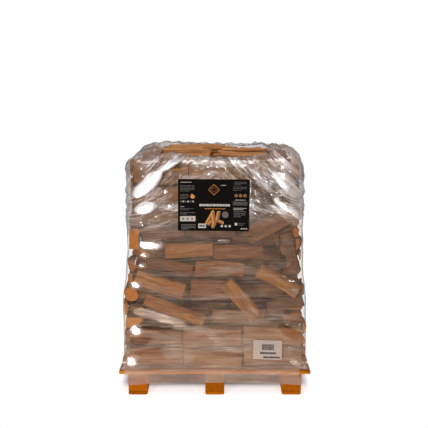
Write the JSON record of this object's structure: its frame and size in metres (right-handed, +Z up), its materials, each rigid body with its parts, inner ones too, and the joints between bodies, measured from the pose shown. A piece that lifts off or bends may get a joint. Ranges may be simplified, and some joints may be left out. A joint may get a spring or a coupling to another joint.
{
  "type": "film-wrapped pallet of firewood",
  "caption": "Stack of split hardwood logs on a wooden block pallet, wrapped in clear stretch film with a dark printed label and a small white label.",
  "frame": {"origin": "on the floor under the middle of the load", "axes": "+Z up; -Y is the labelled front; X runs along the pallet's deck boards"},
  "size_m": [1.006, 1.206, 1.272],
  "materials": {
    "pallet_wood": "sawn softwood, warm orange",
    "split_wood": "split hardwood with bark",
    "stretch_film": "clear hazy stretch film",
    "black_label": "coated, satin",
    "white_label": "matt, under film"
  },
  "bodies": {
    "root": {"skid_left": "pallet_wood", "stringer_left": "pallet_wood", "block_front_left": "pallet_wood", "block_centre_left": "pallet_wood", "block_back_left": "pallet_wood", "skid_middle": "pallet_wood", "stringer_middle": "pallet_wood", "block_front_middle": "pallet_wood", "block_centre_middle": "pallet_wood", "block_back_middle": "pallet_wood", "skid_right": "pallet_wood", "stringer_right": "pallet_wood", "block_front_right": "pallet_wood", "block_centre_right": "pallet_wood", "block_back_right": "pallet_wood", "deck_board_1": "pallet_wood", "deck_board_2": "pallet_wood", "deck_board_3": "pallet_wood", "deck_board_4": "pallet_wood", "deck_board_5": "pallet_wood", "deck_board_6": "pallet_wood", "deck_board_7": "pallet_wood", "front_log_01": "split_wood", "front_log_02": "split_wood", "front_log_03": "split_wood", "front_log_04": "split_wood", "front_log_05": "split_wood", "front_log_06": "split_wood", "front_log_07": "split_wood", "front_log_08": "split_wood", "front_log_09": "split_wood", "front_log_10": "split_wood", "front_log_11": "split_wood", "front_log_12": "split_wood", "front_log_13": "split_wood", "front_log_14": "split_wood", "front_log_15": "split_wood", "front_log_16": "split_wood", "front_log_17": "split_wood", "front_log_18": "split_wood", "front_log_19": "split_wood", "front_log_20": "split_wood", "front_log_21": "split_wood", "front_log_22": "split_wood", "front_log_23": "split_wood", "front_log_24": "split_wood", "front_log_25": "split_wood", "front_log_26": "split_wood", "front_log_27": "split_wood", "front_log_28": "split_wood", "front_log_29": "split_wood", "end_on_log_1": "split_wood", "end_on_log_2": "split_wood", "log_tier_1": "split_wood", "log_tier_2": "split_wood", "log_tier_3": "split_wood", "log_tier_4": "split_wood", "stretch_film": "stretch_film", "printed_label": "black_label", "barcode_label": "white_label"}
  },
  "joints": []
}
